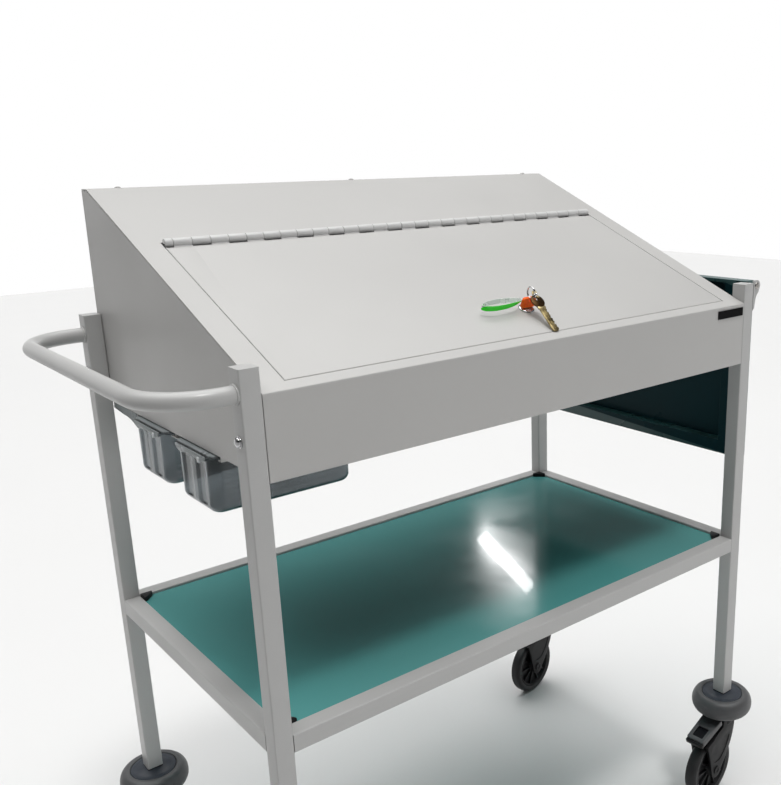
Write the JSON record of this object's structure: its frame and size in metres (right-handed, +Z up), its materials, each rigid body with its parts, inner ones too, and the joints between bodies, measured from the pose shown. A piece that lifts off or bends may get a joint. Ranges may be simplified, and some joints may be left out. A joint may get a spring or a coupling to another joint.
{
  "type": "medicine trolley",
  "caption": "Wheeled steel medicine trolley: lockable sloping-lid cabinet over a lower shelf, fold-down side shelf, push handle, hanging bins and braked swivel castors.",
  "frame": {"origin": "centre of the bounding box's base, on the floor", "axes": "+X along the trolley from the push handle to the side shelf, +Y to the back (the high side), +Z up"},
  "size_m": [1.064, 0.6148, 1.1582],
  "materials": {
    "white_paint": "fine textured powder coat",
    "green_paint": "glossy powder coat",
    "bright_steel": "nickel plated",
    "key_brass": "worn",
    "orange_plastic": "gloss",
    "strap_plastic": "soft gloss",
    "nameplate_black": "satin",
    "bin_plastic": "clear, lightly frosted",
    "buffer_rubber": "matte",
    "black_nylon": "moulded satin",
    "wheel_rubber": "smooth tread"
  },
  "bodies": {
    "trolley": {"leg_front_left": "white_paint", "leg_front_right": "white_paint", "leg_rear_left": "white_paint", "leg_rear_right": "white_paint", "rail_front": "white_paint", "rail_rear": "white_paint", "rail_left": "white_paint", "rail_right": "white_paint", "shelf_tray": "green_paint", "push_handle": "white_paint", "cabinet_bolt_front_left": "bright_steel", "cabinet_bolt_front_right": "bright_steel", "cabinet_bolt_rear_left": "bright_steel", "cabinet_bolt_rear_right": "bright_steel", "cabinet_front": "white_paint", "cabinet_back": "white_paint", "cabinet_floor": "white_paint", "cabinet_side_left": "white_paint", "cabinet_side_right": "white_paint", "cabinet_top": "white_paint", "ridge_screw_left": "white_paint", "ridge_screw_middle": "white_paint", "ridge_screw_right": "white_paint", "nameplate": "nameplate_black", "hinge_leaf_fixed": "white_paint", "hinge_pin": "bright_steel", "lock_keeper": "white_paint", "shelf_bracket_front": "white_paint", "shelf_bracket_rear": "white_paint", "shelf_pivot_front": "bright_steel", "shelf_pivot_rear": "bright_steel", "bin_runner_front": "white_paint", "bin_runner_middle": "white_paint", "bin_runner_rear": "white_paint", "castor_mount_front_left": "buffer_rubber", "castor_mount_front_right": "buffer_rubber", "castor_mount_rear_left": "buffer_rubber", "castor_mount_rear_right": "buffer_rubber"},
    "lid": {"lid": "white_paint", "hinge_leaf_lid": "white_paint", "lock_barrel": "bright_steel"},
    "lock": {"lock_plug": "bright_steel", "key": "orange_plastic"},
    "keys": {"key_ring": "bright_steel", "spare_key": "key_brass", "key_strap": "strap_plastic"},
    "side_shelf": {"side_shelf": "green_paint"},
    "bin_front": {"bin_front": "bin_plastic"},
    "bin_rear": {"bin_rear": "bin_plastic"},
    "castor_front_left": {"castor_fork_front_left": "black_nylon"},
    "wheel_front_left": {"castor_wheel_front_left": "wheel_rubber"},
    "castor_front_right": {"castor_fork_front_right": "black_nylon"},
    "wheel_front_right": {"castor_wheel_front_right": "wheel_rubber"},
    "brake_front_right": {"brake_pedal_front_right": "black_nylon"},
    "castor_rear_left": {"castor_fork_rear_left": "black_nylon"},
    "wheel_rear_left": {"castor_wheel_rear_left": "wheel_rubber"},
    "brake_rear_left": {"brake_pedal_rear_left": "black_nylon"},
    "castor_rear_right": {"castor_fork_rear_right": "black_nylon"},
    "wheel_rear_right": {"castor_wheel_rear_right": "wheel_rubber"}
  },
  "joints": [
    {"name": "lid_hinge", "type": "hinge", "parent": "trolley", "child": "lid", "pos_m": [0.02857, 0.06433, 1.08738], "axis": [-1, 0, 0], "range_deg": [0, 176]},
    {"name": "lock_turn", "type": "hinge", "parent": "lid", "child": "lock", "pos_m": [0.04557, -0.18939, 0.97873], "axis": [0, -0.387, 0.9221], "range_deg": [0, 90]},
    {"name": "key_ring_swing", "type": "hinge", "parent": "lock", "child": "keys", "pos_m": [0.04557, -0.19539, 0.99303], "axis": [-1, 0, 0], "range_deg": [0, 25]},
    {"name": "side_shelf_hinge", "type": "hinge", "parent": "trolley", "child": "side_shelf", "pos_m": [0.49807, 0, 0.973], "axis": [0, -1, 0], "range_deg": [0, 90]},
    {"name": "bin_front_slide", "type": "slide", "parent": "trolley", "child": "bin_front", "axis": [-1, 0, 0], "range_m": [0, 0.2]},
    {"name": "bin_rear_slide", "type": "slide", "parent": "trolley", "child": "bin_rear", "axis": [-1, 0, 0], "range_m": [0, 0.2]},
    {"name": "swivel_front_left", "type": "hinge", "parent": "trolley", "child": "castor_front_left", "pos_m": [-0.41992, -0.2525, 0.165], "axis": [0, 0, 1], "continuous": true},
    {"name": "roll_front_left", "type": "hinge", "parent": "castor_front_left", "child": "wheel_front_left", "pos_m": [-0.45783, -0.24985, 0.0625], "axis": [0.0698, 0.9976, 0], "continuous": true},
    {"name": "swivel_front_right", "type": "hinge", "parent": "trolley", "child": "castor_front_right", "pos_m": [0.47708, -0.2525, 0.165], "axis": [0, 0, 1], "continuous": true},
    {"name": "roll_front_right", "type": "hinge", "parent": "castor_front_right", "child": "wheel_front_right", "pos_m": [0.43917, -0.25515, 0.0625], "axis": [-0.0698, 0.9976, 0], "continuous": true},
    {"name": "brake_front_right", "type": "hinge", "parent": "castor_front_right", "child": "brake_front_right", "pos_m": [0.45014, -0.25438, 0.16], "axis": [0.0698, -0.9976, 0], "range_deg": [0, 10]},
    {"name": "swivel_rear_left", "type": "hinge", "parent": "trolley", "child": "castor_rear_left", "pos_m": [-0.41992, 0.2525, 0.165], "axis": [0, 0, 1], "continuous": true},
    {"name": "roll_rear_left", "type": "hinge", "parent": "castor_rear_left", "child": "wheel_rear_left", "pos_m": [-0.45787, 0.25449, 0.0625], "axis": [0.0523, 0.9986, 0], "continuous": true},
    {"name": "brake_rear_left", "type": "hinge", "parent": "castor_rear_left", "child": "brake_rear_left", "pos_m": [-0.44689, 0.25391, 0.16], "axis": [-0.0523, -0.9986, 0], "range_deg": [0, 10]},
    {"name": "swivel_rear_right", "type": "hinge", "parent": "trolley", "child": "castor_rear_right", "pos_m": [0.47708, 0.2525, 0.165], "axis": [0, 0, 1], "continuous": true},
    {"name": "roll_rear_right", "type": "hinge", "parent": "castor_rear_right", "child": "wheel_rear_right", "pos_m": [0.43965, 0.2459, 0.0625], "axis": [-0.1736, 0.9848, 0], "continuous": true}
  ]
}
